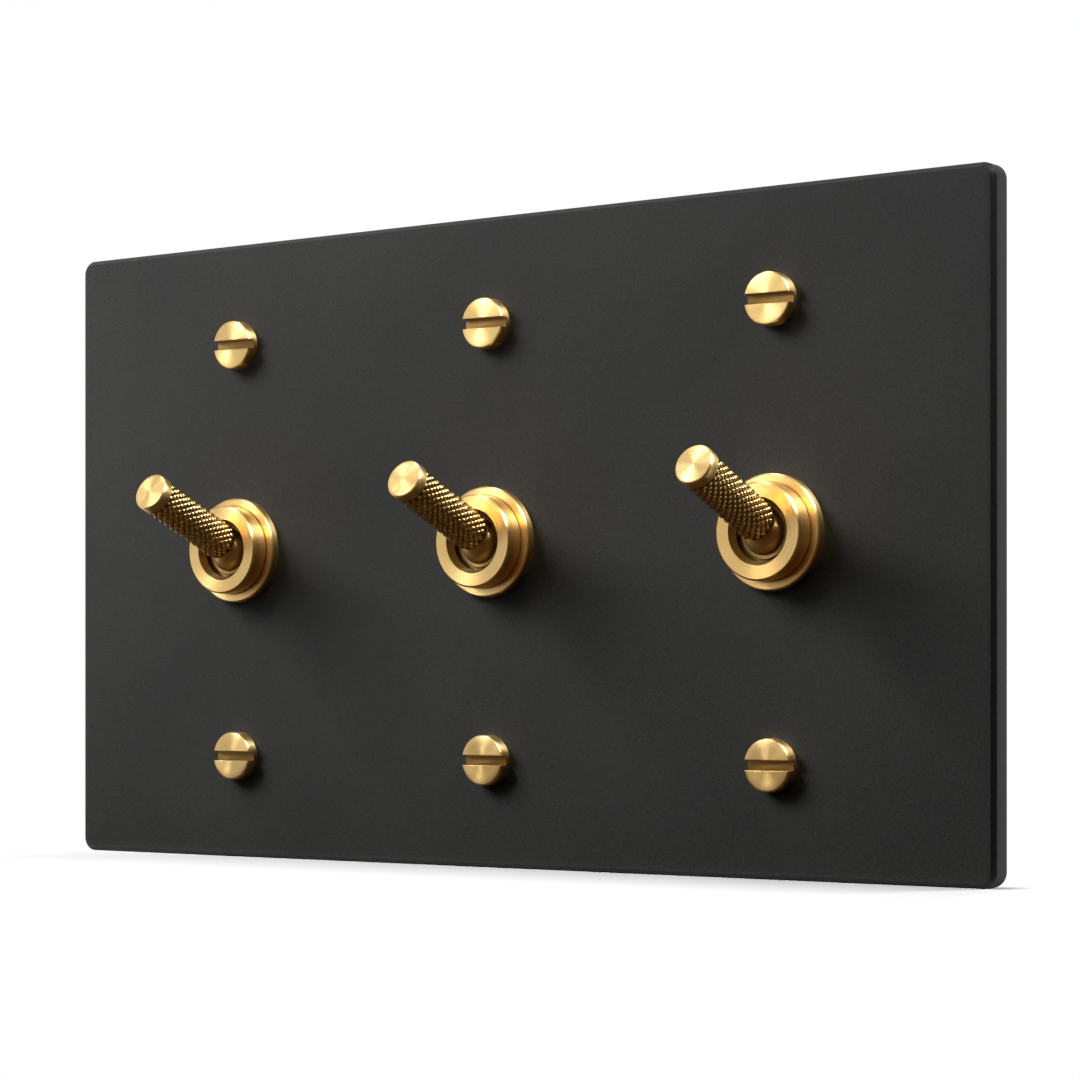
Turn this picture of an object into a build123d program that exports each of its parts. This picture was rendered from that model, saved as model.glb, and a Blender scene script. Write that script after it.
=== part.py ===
from build123d import *
import os
from math import cos, pi, radians, sin, sqrt, tan

os.makedirs("parts", exist_ok=True)

# Three-gang toggle light switch, in millimetres, +X to the right and +Z up.
# The origin is the centre of the face plate's back, in the wall plane. The front looks along -Y.
# A height is measured out of the wall, so what sits in the wall box has a negative height.

# Face plate
gangs = ("left", "middle", "right")
gang_pitch = 46.04
screw_spacing = 60.3
side_margin = 31.96
end_margin = 14.85
plate_t = 3.5
plate_corner_r = 2.0
plate_edge_chamfer = 0.6
plate_back_chamfer = 0.4
rim_w = 4.0
pocket_depth = 1.6
pocket_corner_r = 1.5

# Plate screws
head_r = 3.5
head_t = 1.8
head_chamfer = 0.3
slot_w = 1.4
slot_depth = 1.1
shoulder_r = 2.0
screw_thread_r = 1.75
screw_reach = 18.0
screw_tip = 0.5

# Lever: lengths are measured along it from the pivot
lever_tilt = 24.0
lever_len = 19.2
pivot_stand = 1.4
ball_r = 3.1
neck_r = 2.2
neck_len = 0.15
grip_r = 2.75
grip_foot_r = 2.4
grip_foot_len = 0.4
tip_len = 1.6
tip_chamfer = 0.25
knurl_starts = 17
knurl_rows = 24
knurl_depth = 0.26
stud_r = 1.25
stud_len = 5.6
tail_r = 1.6
tail_len = 8.6
pin_r = 0.75

# Plunger and its spring, in the lever's tail
plunger_r = 0.95
plunger_out = 2.0
plunger_in = 1.8
coil_r = 0.68
wire_r = 0.16
coil_turns = 5
coil_steps = 10
wire_sides = 6

# Collar and bushing
lip_rise = 0.9
bushing_wall = 0.86
socket_rim_wall = 0.5
socket_rim_len = 0.6
bushing_flange_step = 1.4
bushing_flange_t = 1.0
ring_wall = 1.35
ring_lip = 1.2
ring_lip_gap = 0.5
ring_chamfer = 0.25
ring_undercut = 0.2
mouth_gap = 0.23
mouth_chamfer = 0.45
mouth_depth = 1.1
flange_step = 1.2
flange_t = 1.25
flange_chamfer = 0.2

# Strap and its fasteners
strap_t = 1.5
strap_w = 22.0
strap_end = 5.85
strap_corner_r = 3.0
rivet_r = 1.0
rivet_head_r = 1.8
rivet_head_t = 0.8
earth_offset = 6.5
earth_drop = 22.0
earth_thread_r = 1.6
earth_head_r = 3.0
earth_head_t = 1.7

# Rocker: lengths are measured from its own pivot
rocker_tilt = 10.0
rocker_w = 4.4
rocker_t = 0.8
arm_half = 4.4
ear_len = 2.0
saddle_half = 1.7
saddle_drop = 0.3
fulcrum_r = 0.8

# Terminals and contacts
terminal_t = 1.0
terminal_w = 5.0
terminal_out = 8.4
contact_r = 1.2
contact_rise = 0.7
contact_shank_r = 0.6
terminal_screw_r = 1.25
terminal_head_r = 2.6
terminal_head_t = 1.8
terminal_screw_reach = 1.6
terminal_screw_in = 4.4

# Switch case
case_wall = 1.0
case_end_wall = 2.6
case_floor_t = 2.2
case_edge_r = 0.8
cavity_w = 8.4
cavity_end_room = 1.0
ear_out = 6.0
ear_t = 2.5
ear_corner_r = 2.5
fulcrum_stand = 4.0
barrier_t = 1.2
barrier_h = 3.0

# Clearances
fit_gap = 0.1
thread_gap = 0.05
pin_gap = 0.05
ball_gap = 0.12
swing_gap = 0.25
plunger_gap = 0.05
nose_gap = 0.1
saddle_gap = 0.08
contact_gap = 0.08

# Sizes that follow
gang_places = [((n - (len(gangs) - 1) / 2) * gang_pitch, 0, 0) for n in range(len(gangs))]
plate_w = (len(gangs) - 1) * gang_pitch + 2 * side_margin
plate_h = screw_spacing + 2 * end_margin
tilt = radians(lever_tilt)
pivot_h = plate_t + pivot_stand
strap_back = pocket_depth - strap_t


def swing_r(height, part_r):
    """Radius that a round bar of the lever sweeps at this height, from limit to limit."""
    return abs(height - pivot_h) * tan(tilt) + part_r / cos(tilt)


socket_r = ball_r + ball_gap
bushing_r = swing_r(strap_back, tail_r) + swing_gap + bushing_wall
bushing_flange_r = bushing_r + bushing_flange_step
bushing_back = strap_back - bushing_flange_t
bushing_front = pivot_h + lip_rise
socket_mouth_r = sqrt(socket_r**2 - lip_rise**2)
socket_rim_r = socket_mouth_r + socket_rim_wall
ring_base = plate_t + flange_t
ring_face = bushing_front + ring_lip_gap + ring_lip
ring_r = bushing_r + thread_gap + ring_wall
ring_mouth_r = swing_r(ring_face, grip_r) + mouth_gap
ring_hole_r = ring_mouth_r - mouth_chamfer
flange_r = ring_r + flange_step
neck_start = sqrt(ball_r**2 - neck_r**2)
grip_start = neck_start + neck_len
bore_r = plunger_r + plunger_gap
bore_end = ball_r + fit_gap
nose_reach = tail_len + plunger_out
plunger_back = tail_len - plunger_in

# The rocker's cradle is the arc that the plunger's nose follows as both of them turn.
rock = radians(rocker_tilt)
saddle_r = fulcrum_r + saddle_gap
cradle_drop = saddle_r + rocker_t
nose_room = plunger_r + nose_gap
rocker_h = pivot_h - nose_reach - nose_room - cradle_drop
nose_lift = pivot_h - nose_reach * cos(tilt) - rocker_h
nose_h = nose_lift * cos(rock) + nose_reach * sin(tilt) * sin(rock)
nose_z = nose_lift * sin(rock) - nose_reach * sin(tilt) * cos(rock)
nose_rise = nose_h - cradle_drop
cradle_r = (nose_rise**2 + nose_z**2 - nose_room**2) / (2 * (nose_rise - nose_room))
cradle_h = cradle_drop + cradle_r
ear_front = cradle_h - sqrt(cradle_r**2 - arm_half**2)
ear_back = ear_front - rocker_t
back_arc_z = sqrt((cradle_r + rocker_t) ** 2 - (cradle_h - ear_back) ** 2)

# The contacts meet the middle of the rocker's ears at each end of its travel.
contact_z = (arm_half + ear_len / 2) * cos(rock) + ear_back * sin(rock)
contact_lift = (ear_back - contact_r - contact_gap - contact_z * sin(rock)) / cos(rock)
contact_h = rocker_h + contact_lift
terminal_front = contact_h + contact_r - contact_rise
terminal_z = contact_z + contact_r
cavity_end = terminal_z + terminal_t + cavity_end_room
floor_h = rocker_h - fulcrum_stand
case_back = floor_h - case_floor_t
terminal_end = case_back - terminal_out
terminal_screw_h = terminal_end + terminal_screw_in
case_w = 2 * (bushing_flange_r + fit_gap + case_wall)
case_h = 2 * (cavity_end + case_end_wall)
ear_z = (case_h + ear_out) / 2
ear_back_h = strap_back - ear_t
barrier_z = (terminal_z + terminal_t) / 2

# Planes and axes. Each gang's pieces are made at the middle of the plate.
turned_plane = Plane((0, 0, 0), x_dir=(1, 0, 0), z_dir=(0, 0, -1))
toggle_axis = Axis((0, 0, 0), (0, -1, 0))
side_plane = Plane((0, 0, 0), x_dir=(0, -1, 0), z_dir=(-1, 0, 0))
pivot = (0, -pivot_h, 0)
lever_dir = (0, -cos(tilt), sin(tilt))
lever_plane = Plane(pivot, x_dir=(1, 0, 0), z_dir=lever_dir)
lever_profile = Plane(pivot, x_dir=(1, 0, 0), z_dir=(0, -sin(tilt), -cos(tilt)))
lever_axis = Axis(pivot, lever_dir)
rocker_plane = Plane((0, -rocker_h, 0), x_dir=(0, -cos(rock), -sin(rock)), z_dir=(-1, 0, 0))


def front_plane(height):
    """Plane parallel to the wall at this height, looking into the room."""
    return Plane.XZ.offset(height)


def skinned_solid(rings):
    """Closed solid over rings of points, with triangles that join the low points of a knurl."""
    faces = [Face(Wire.make_polygon(rings[0])), Face(Wire.make_polygon(rings[-1]))]
    count = len(rings[0])
    for row, (lower, upper) in enumerate(zip(rings, rings[1:])):
        for k in range(count):
            a, b = lower[k], lower[(k + 1) % count]
            c, d = upper[k], upper[(k + 1) % count]
            halves = ((a, b, c), (b, d, c)) if (row + k) % 2 == 0 else ((a, b, d), (a, d, c))
            faces += [Face(Wire.make_polygon(half)) for half in halves]
    return Solid(Shell(faces))


def knurl_rings(start, end):
    """Rings of alternate peaks and valleys, which swap places from ring to ring: a diamond knurl."""
    rings = []
    for row in range(knurl_rows + 1):
        along = start + (end - start) * row / knurl_rows
        inside = 0 < row < knurl_rows
        ring = []
        for k in range(2 * knurl_starts):
            is_peak = inside and (row + k) % 2 == 0
            radius = grip_r if is_peak else grip_r - knurl_depth
            angle = pi * k / knurl_starts
            place = (radius * cos(angle), radius * sin(angle), along)
            ring.append(lever_plane.from_local_coords(place))
        rings.append(ring)
    return rings


def spring_rings(start, end):
    """Sections of a coiled wire between these two places along the lever."""
    rings = []
    steps = coil_turns * coil_steps
    for step in range(steps + 1):
        turn = 2 * pi * step / coil_steps
        along = start + (end - start) * step / steps
        ring = []
        for k in range(wire_sides):
            around = 2 * pi * k / wire_sides
            radius = coil_r + wire_r * cos(around)
            place = (radius * cos(turn), radius * sin(turn), along + wire_r * sin(around))
            ring.append(lever_plane.from_local_coords(place))
        rings.append(ring)
    return rings


# Face plate: a solid slab with a pocket in its back for the straps
with BuildPart() as face_plate:
    with BuildSketch(Plane.XZ):
        RectangleRounded(plate_w, plate_h, plate_corner_r)
    extrude(amount=plate_t)
    chamfer(face_plate.faces().sort_by(Axis.Y)[0].edges(), plate_edge_chamfer)
    chamfer(face_plate.faces().sort_by(Axis.Y)[-1].edges(), plate_back_chamfer)
    with BuildSketch(Plane.XZ):
        RectangleRounded(plate_w - 2 * rim_w, plate_h - 2 * rim_w, pocket_corner_r)
    extrude(amount=pocket_depth, mode=Mode.SUBTRACT)
    with Locations(front_plane(plate_t)):
        with GridLocations(gang_pitch, screw_spacing, len(gangs), 1):
            Hole(bushing_r + fit_gap)
        with GridLocations(gang_pitch, screw_spacing, len(gangs), 2):
            Hole(shoulder_r + fit_gap)

# Plate screws: slotted cheese heads, a shoulder through plate and strap, then the thread
with BuildPart() as plate_screws:
    with BuildSketch(front_plane(plate_t)):
        with GridLocations(gang_pitch, screw_spacing, len(gangs), 2):
            Circle(head_r)
    extrude(amount=head_t)
    chamfer(plate_screws.faces().group_by(Axis.Y)[0].edges(), head_chamfer)
    with BuildSketch(front_plane(plate_t + head_t)):
        with GridLocations(gang_pitch, screw_spacing, len(gangs), 2):
            Rectangle(2 * head_r, slot_w)
    extrude(amount=-slot_depth, mode=Mode.SUBTRACT)
    with BuildSketch(front_plane(plate_t)):
        with GridLocations(gang_pitch, screw_spacing, len(gangs), 2):
            Circle(shoulder_r)
    extrude(amount=strap_back - plate_t)
    with BuildSketch(front_plane(strap_back)):
        with GridLocations(gang_pitch, screw_spacing, len(gangs), 2):
            Circle(screw_thread_r)
    extrude(amount=-screw_reach)
    chamfer(plate_screws.faces().group_by(Axis.Y)[-1].edges(), screw_tip)

# Collar flange: the wide turned washer on the plate
with BuildPart() as collar_flange:
    with BuildSketch(front_plane(plate_t)):
        Circle(flange_r)
        Circle(bushing_r + fit_gap, mode=Mode.SUBTRACT)
    extrude(amount=flange_t)
    rim = collar_flange.edges().filter_by(GeomType.CIRCLE).sort_by(SortBy.RADIUS)[-2:]
    chamfer(rim.sort_by(Axis.Y)[0], flange_chamfer)

# Collar ring: the dress nut, with a front lip and a conical mouth
with BuildPart() as collar_ring:
    with BuildSketch(turned_plane):
        with BuildLine():
            Polyline(
                (bushing_r + thread_gap, ring_base),
                (ring_r - ring_undercut, ring_base),
                (ring_r, ring_base + ring_undercut),
                (ring_r, ring_face - ring_chamfer),
                (ring_r - ring_chamfer, ring_face),
                (ring_mouth_r, ring_face),
                (ring_hole_r, ring_face - mouth_depth),
                (ring_hole_r, ring_face - ring_lip),
                (bushing_r + thread_gap, ring_face - ring_lip),
                close=True,
            )
        make_face()
    revolve(axis=toggle_axis)

# Bushing: threaded barrel with a narrow rim round the ball, wider behind for the swinging tail
socket_end = pivot_h - (socket_r - swing_gap - tail_r / cos(tilt)) / tan(tilt)
with BuildPart() as bushing:
    with BuildSketch(turned_plane):
        with BuildLine():
            Polyline(
                (socket_mouth_r, bushing_front),
                (socket_rim_r, bushing_front),
                (socket_rim_r, bushing_front - socket_rim_len),
                (bushing_r, bushing_front - socket_rim_len),
                (bushing_r, strap_back),
                (bushing_flange_r, strap_back),
                (bushing_flange_r, bushing_back),
                (swing_r(bushing_back, tail_r) + swing_gap, bushing_back),
                (socket_r, socket_end),
                (socket_r, pivot_h),
            )
            RadiusArc((socket_r, pivot_h), (socket_mouth_r, bushing_front), -socket_r)
        make_face()
    revolve(axis=toggle_axis)
    with BuildSketch(side_plane):
        with Locations((pivot_h, 0)):
            Circle(pin_r + pin_gap)
    extrude(amount=bushing_flange_r, both=True, mode=Mode.SUBTRACT)

# Pivot pin: held in the bushing's wall, through the ball
with BuildPart() as pivot_pin:
    with BuildSketch(side_plane):
        with Locations((pivot_h, 0)):
            Circle(pin_r)
    extrude(amount=bushing_r - fit_gap, both=True)

# Lever stem: stud, neck, ball and bored tail, turned in one
with BuildPart() as lever_stem:
    tail_meet = (tail_r, -sqrt(ball_r**2 - tail_r**2))
    neck_meet = (neck_r, neck_start)
    with BuildSketch(lever_profile):
        with BuildLine():
            Polyline(
                (0, -bore_end),
                (bore_r, -bore_end),
                (bore_r, -tail_len),
                (tail_r, -tail_len),
                tail_meet,
            )
            ThreePointArc(tail_meet, (ball_r, 0), neck_meet)
            Polyline(
                neck_meet,
                (neck_r, grip_start),
                (stud_r, grip_start),
                (stud_r, grip_start + stud_len),
                (0, grip_start + stud_len),
                (0, -bore_end),
            )
        make_face()
    revolve(axis=lever_axis)
    with BuildSketch(side_plane):
        with Locations((pivot_h, 0)):
            Circle(pin_r + pin_gap)
    extrude(amount=2 * ball_r, both=True, mode=Mode.SUBTRACT)

# Lever grip: diamond knurl between a plain foot and a plain chamfered tip
knurl_start = grip_start + grip_foot_len
knurl_end = lever_len - tip_len
with BuildPart() as lever_grip:
    add(skinned_solid(knurl_rings(knurl_start, knurl_end)), clean=False)
    with BuildSketch(lever_plane.offset(knurl_end)):
        Circle(grip_r)
    extrude(amount=tip_len, clean=False)
    tip_edge = lever_grip.edges().filter_by(GeomType.CIRCLE).sort_by(lever_axis)[-1]
    chamfer(tip_edge, tip_chamfer)
    with BuildSketch(lever_plane.offset(knurl_start)):
        Circle(grip_foot_r)
    extrude(amount=-grip_foot_len, clean=False)
    with BuildSketch(lever_plane.offset(grip_start)):
        Circle(stud_r + thread_gap)
    extrude(amount=stud_len + fit_gap, mode=Mode.SUBTRACT, clean=False)

# Plunger: a round-nosed pin that slides in the tail
with BuildPart() as plunger:
    with BuildSketch(lever_profile):
        with BuildLine():
            Polyline(
                (0, -nose_reach - plunger_r),
                (0, -plunger_back),
                (plunger_r, -plunger_back),
                (plunger_r, -nose_reach),
            )
            RadiusArc((plunger_r, -nose_reach), (0, -nose_reach - plunger_r), plunger_r)
        make_face()
    revolve(axis=lever_axis)

# Plunger spring: a coil between the end of the bore and the plunger
with BuildPart() as plunger_spring:
    add(skinned_solid(spring_rings(-plunger_back + wire_r, -bore_end - wire_r)), clean=False)

# Rocker: a see-saw strip with a curved cradle, flat ears and a saddle over the fulcrum
with BuildPart() as rocker:
    with BuildSketch(rocker_plane):
        with BuildLine():
            ThreePointArc((ear_front, -arm_half), (cradle_drop, 0), (ear_front, arm_half))
            Polyline(
                (ear_front, arm_half),
                (ear_front, arm_half + ear_len),
                (ear_back, arm_half + ear_len),
                (ear_back, back_arc_z),
            )
            ThreePointArc((ear_back, back_arc_z), (saddle_r, 0), (ear_back, -back_arc_z))
            Polyline(
                (ear_back, -back_arc_z),
                (ear_back, -arm_half - ear_len),
                (ear_front, -arm_half - ear_len),
                (ear_front, -arm_half),
            )
        make_face()
        with Locations(((cradle_drop - rocker_t / 2 - saddle_drop) / 2, 0)):
            Rectangle(cradle_drop - rocker_t / 2 + saddle_drop, 2 * saddle_half)
        Circle(saddle_r, mode=Mode.SUBTRACT)
        with Locations((-saddle_drop, 0)):
            Rectangle(2 * saddle_drop, 2 * saddle_r, mode=Mode.SUBTRACT)
    extrude(amount=rocker_w / 2, both=True)

# Common terminal: a strip whose beaded edge is the rocker's fulcrum
with BuildPart() as common_terminal:
    with BuildSketch(side_plane):
        with Locations((rocker_h, 0)):
            Circle(fulcrum_r)
        with Locations(((rocker_h + terminal_end) / 2, 0)):
            Rectangle(rocker_h - terminal_end, terminal_t)
    extrude(amount=terminal_w / 2, both=True)
    with Locations((0, -terminal_screw_h, 0)):
        Hole(terminal_screw_r + thread_gap)

# Upper terminal: a strip bent over at its inner end to carry a contact
with BuildPart() as upper_terminal:
    with BuildSketch(side_plane):
        with BuildLine():
            Polyline(
                (terminal_front, contact_z - contact_r),
                (terminal_front, terminal_z + terminal_t),
                (terminal_end, terminal_z + terminal_t),
                (terminal_end, terminal_z),
                (terminal_front - terminal_t, terminal_z),
                (terminal_front - terminal_t, contact_z - contact_r),
                close=True,
            )
        make_face()
    extrude(amount=terminal_w / 2, both=True)
    bend = upper_terminal.edges().filter_by(Axis.X).sort_by(Axis.Z)[-2:].sort_by(Axis.Y)[0]
    fillet(bend, terminal_t)
    with Locations((0, -terminal_screw_h, 0)):
        Hole(terminal_screw_r + thread_gap)
    with Locations(Plane((0, -terminal_front, contact_z), x_dir=(1, 0, 0), z_dir=(0, -1, 0))):
        Hole(contact_shank_r + thread_gap, depth=terminal_t)

# Lower terminal: the same strip, the other way up
with BuildPart() as lower_terminal:
    add(upper_terminal.part)
    mirror(about=Plane.XY, mode=Mode.REPLACE)

# Fixed contacts: domed rivets in the terminals' inner ends
with BuildPart() as contact:
    with BuildSketch(turned_plane):
        flat_r = sqrt(contact_r**2 - (contact_r - contact_rise) ** 2)
        dome_top = terminal_front + contact_rise
        with BuildLine():
            RadiusArc((0, dome_top), (flat_r, terminal_front), contact_r)
            Polyline(
                (flat_r, terminal_front),
                (contact_shank_r, terminal_front),
                (contact_shank_r, terminal_front - terminal_t),
                (0, terminal_front - terminal_t),
                (0, dome_top),
            )
        make_face()
    revolve(axis=toggle_axis)
with BuildPart() as fixed_contacts:
    with Locations(*gang_places):
        with Locations((0, 0, contact_z), (0, 0, -contact_z)):
            add(contact.part)

# Terminal screws: pan heads on the outer faces of the terminals
with BuildPart() as terminal_screw:
    with BuildSketch(Plane.XY):
        with Locations((0, -terminal_screw_h)):
            Circle(terminal_head_r)
    extrude(amount=terminal_head_t)
    fillet(terminal_screw.faces().sort_by(Axis.Z)[-1].edges(), terminal_head_t / 3)
    with BuildSketch(Plane.XY.offset(terminal_head_t)):
        with Locations((0, -terminal_screw_h)):
            Rectangle(2 * terminal_head_r, terminal_head_t / 2)
    extrude(amount=-terminal_head_t / 2, mode=Mode.SUBTRACT)
    with BuildSketch(Plane.XY):
        with Locations((0, -terminal_screw_h)):
            Circle(terminal_screw_r)
    extrude(amount=-terminal_t - terminal_screw_reach)
with BuildPart() as terminal_screws:
    with Locations(*gang_places):
        with Locations((0, 0, terminal_t / 2), (0, 0, terminal_z + terminal_t)):
            add(terminal_screw.part)
        with Locations((0, 0, -terminal_z - terminal_t)):
            add(mirror(terminal_screw.part, about=Plane.XY, mode=Mode.PRIVATE))

# Switch case: a moulded cup with riveting ears, slots for the terminals and barriers between them
with BuildPart() as switch_case:
    with BuildSketch(front_plane(strap_back)):
        RectangleRounded(case_w, case_h + 2 * ear_out, ear_corner_r)
    extrude(amount=-ear_t)
    with BuildSketch(front_plane(strap_back)):
        Rectangle(case_w, case_h)
    extrude(amount=case_back - strap_back)
    fillet(switch_case.faces().sort_by(Axis.Y)[-1].edges(), case_edge_r)
    with BuildSketch(front_plane(case_back + case_floor_t / 2)):
        with GridLocations(case_w, 2 * barrier_z, 1, 2):
            Rectangle(case_w - 2 * case_edge_r, barrier_t)
    extrude(amount=-barrier_h - case_floor_t / 2)
    with BuildSketch(front_plane(strap_back)):
        Rectangle(cavity_w, 2 * cavity_end)
    extrude(amount=floor_h - strap_back, mode=Mode.SUBTRACT)
    with BuildSketch(front_plane(strap_back)):
        Circle(bushing_flange_r + fit_gap)
    extrude(amount=-bushing_flange_t, mode=Mode.SUBTRACT)
    with BuildSketch(front_plane(case_back)):
        with Locations((0, 0), (0, terminal_z + terminal_t / 2), (0, -terminal_z - terminal_t / 2)):
            Rectangle(terminal_w + 2 * fit_gap, terminal_t + 2 * fit_gap)
    extrude(amount=case_floor_t, mode=Mode.SUBTRACT)
    with Locations(front_plane(strap_back)):
        with GridLocations(case_w, 2 * ear_z, 1, 2):
            Hole(rivet_r + thread_gap)

# Strap: a flat steel strip in the plate's pocket
with BuildPart() as strap:
    with BuildSketch(front_plane(strap_back)):
        RectangleRounded(strap_w, screw_spacing + 2 * strap_end, strap_corner_r)
    extrude(amount=strap_t)
    with Locations(front_plane(pocket_depth)):
        Hole(bushing_r + fit_gap)
        with GridLocations(strap_w, screw_spacing, 1, 2):
            Hole(shoulder_r + fit_gap)
        with GridLocations(strap_w, 2 * ear_z, 1, 2):
            CounterSinkHole(rivet_r + thread_gap, rivet_head_r + thread_gap)
        with Locations((earth_offset, -earth_drop)):
            Hole(earth_thread_r + thread_gap)

# Case rivets: flush in the strap, headed over behind the case's ears
with BuildPart() as case_rivet:
    with BuildSketch(turned_plane):
        with BuildLine():
            Polyline(
                (0, pocket_depth),
                (rivet_head_r, pocket_depth),
                (rivet_r, pocket_depth - (rivet_head_r - rivet_r)),
                (rivet_r, ear_back_h),
                (rivet_head_r, ear_back_h),
                (rivet_r, ear_back_h - rivet_head_t),
                (0, ear_back_h - rivet_head_t),
                close=True,
            )
        make_face()
    revolve(axis=toggle_axis)
with BuildPart() as case_rivets:
    with Locations(*gang_places):
        with Locations((0, 0, ear_z), (0, 0, -ear_z)):
            add(case_rivet.part)

# Earth screws: one behind each strap
with BuildPart() as earth_screws:
    with BuildSketch(front_plane(strap_back)):
        with Locations((earth_offset, -earth_drop)):
            with GridLocations(gang_pitch, gang_pitch, len(gangs), 1):
                Circle(earth_head_r)
    extrude(amount=-earth_head_t)
    fillet(earth_screws.faces().group_by(Axis.Y)[-1].edges(), earth_head_t / 3)
    with BuildSketch(front_plane(strap_back)):
        with Locations((earth_offset, -earth_drop)):
            with GridLocations(gang_pitch, gang_pitch, len(gangs), 1):
                Circle(earth_thread_r)
    extrude(amount=strap_t)
    with BuildSketch(front_plane(strap_back - earth_head_t)):
        with Locations((earth_offset, -earth_drop)):
            with GridLocations(gang_pitch, gang_pitch, len(gangs), 1):
                Rectangle(2 * earth_head_r, earth_head_t / 2)
    extrude(amount=earth_head_t / 2, mode=Mode.SUBTRACT)


def save(piece, name):
    """Label a finished piece and write its STEP file."""
    piece.label = name
    export_step(piece, f"parts/{name}.step")


# Pieces that the whole switch has once, groups of like fasteners among them
save(face_plate.part, "face_plate")
save(plate_screws.part, "plate_screws")
save(fixed_contacts.part, "fixed_contacts")
save(terminal_screws.part, "terminal_screws")
save(case_rivets.part, "case_rivets")
save(earth_screws.part, "earth_screws")

# Pieces that each gang has
gang_pieces = {
    "lever_grip": lever_grip,
    "lever_stem": lever_stem,
    "plunger": plunger,
    "plunger_spring": plunger_spring,
    "pivot_pin": pivot_pin,
    "collar_ring": collar_ring,
    "collar_flange": collar_flange,
    "bushing": bushing,
    "strap": strap,
    "switch_case": switch_case,
    "rocker": rocker,
    "common_terminal": common_terminal,
    "upper_terminal": upper_terminal,
    "lower_terminal": lower_terminal,
}
for gang, place in zip(gangs, gang_places):
    for name, piece in gang_pieces.items():
        save(piece.part.moved(Location(place)), f"{name}_{gang}")

print("plate", round(plate_w, 2), "by", round(plate_h, 2), "by", plate_t)
print("collar ring radius", round(ring_r, 3), "mouth radius", round(ring_mouth_r, 3))
print("case", round(case_w, 2), "by", round(case_h, 2), "back of terminals", round(terminal_end, 2))
print("grip length", round(lever_len - grip_start, 2), "cradle radius", round(cradle_r, 3))
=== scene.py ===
# %% [markdown]
# # A three-gang toggle light switch
# This lesson dresses the CAD model of a wall switch: a dark coated plate, turned brass collars,
# knurled brass levers and slotted brass screws, with the mechanisms behind them. The CAD frame comes
# first. It fixes every size and place, so each piece is fitted to the node that it stands for.

# %% Load the CAD frame
from contextlib import contextmanager
from math import acos, asin, atan2, cos, degrees, hypot, pi, radians, sin, sqrt, tau

import bmesh
import bpy
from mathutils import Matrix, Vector


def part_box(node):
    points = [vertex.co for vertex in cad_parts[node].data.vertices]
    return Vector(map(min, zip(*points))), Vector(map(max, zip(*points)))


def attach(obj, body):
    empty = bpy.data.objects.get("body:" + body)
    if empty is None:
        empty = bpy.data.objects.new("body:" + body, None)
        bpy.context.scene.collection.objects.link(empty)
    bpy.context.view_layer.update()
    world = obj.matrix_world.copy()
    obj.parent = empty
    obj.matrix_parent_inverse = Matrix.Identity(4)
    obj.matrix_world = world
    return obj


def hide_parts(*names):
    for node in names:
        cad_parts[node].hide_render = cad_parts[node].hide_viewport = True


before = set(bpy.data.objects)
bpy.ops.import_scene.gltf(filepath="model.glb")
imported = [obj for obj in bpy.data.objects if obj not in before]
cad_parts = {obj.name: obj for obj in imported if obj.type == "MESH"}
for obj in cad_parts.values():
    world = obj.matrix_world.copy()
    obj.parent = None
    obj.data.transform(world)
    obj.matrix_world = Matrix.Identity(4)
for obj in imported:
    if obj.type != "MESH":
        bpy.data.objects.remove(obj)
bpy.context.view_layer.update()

MM = 0.001
GANGS = ("left", "middle", "right")
plate_low, plate_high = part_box("face_plate")


def in_mm(length):
    return round(length / MM, 2)


print("plate", [in_mm(side) for side in plate_high - plate_low], "mm")

# %% [markdown]
# ## Camera
# The switch is seen from its right, level with the lower third of the plate. A long lens keeps the
# perspective mild, and a lens shift, as on a view camera, moves the picture up without tilting the
# camera, so that the plate's sides stay upright.

# %% Camera
camera_place = (0.2549, -0.3419, -0.0198)
camera_turn = radians(36.04)
lens_length = 102.16
sensor_width = 36
lens_rise = 0.1346
near_limit = 0.01

bpy.ops.object.camera_add(location=camera_place, rotation=(pi / 2, 0, camera_turn))
camera = bpy.context.object
camera.data.lens = lens_length
camera.data.sensor_width = sensor_width
camera.data.shift_y = lens_rise
camera.data.clip_start = near_limit
bpy.context.scene.camera = camera
print("camera", [round(value, 3) for value in camera_place])

# %% [markdown]
# ## Node helpers
# Every finish is built from shader nodes. One small helper makes a node, sets its values and links
# its inputs, which keeps the recipes short.

# %% Node helpers
def add_node(tree, kind, inputs=None, **settings):
    """Make a shader node. An input is given a value, or the output socket that feeds it."""
    node = tree.nodes.new(f"ShaderNode{kind}")
    for name, value in settings.items():
        setattr(node, name, value)
    for name, value in (inputs or {}).items():
        if isinstance(value, bpy.types.NodeSocket):
            tree.links.new(value, node.inputs[name])
        else:
            node.inputs[name].default_value = value
    return node


def calculate(tree, operation, first, second):
    """The result of a Math node. Each number is given as a value or as an output socket."""
    return add_node(tree, "Math", {0: first, 1: second}, operation=operation).outputs[0]


def new_material(name):
    """An empty node material, with its tree and its output node."""
    material = bpy.data.materials.new(name)
    material.use_nodes = True
    material.node_tree.nodes.clear()
    output = material.node_tree.nodes.new("ShaderNodeOutputMaterial")
    return material, material.node_tree, output


# %% [markdown]
# ## White studio
# The background is white. The world gives the camera, reflections and glass plain white, and gives
# all other rays a weaker fill, so the background can be white without flooding the object.

# %% World
WHITE = (1, 1, 1, 1)
fill_level = 0.08
studio = bpy.data.worlds.new("white_studio")
bpy.context.scene.world = studio
bpy.context.scene.view_settings.view_transform = "Standard"
studio.use_nodes = True
tree = studio.node_tree
tree.nodes.clear()


def seen_rays(tree):
    """1 for rays that look at a surface: straight from the camera, by reflection or through glass."""
    path = add_node(tree, "LightPath")
    seen = path.outputs["Is Camera Ray"]
    for name in ("Is Glossy Ray", "Is Transmission Ray"):
        seen = calculate(tree, "MAXIMUM", seen, path.outputs[name])
    return seen


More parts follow.
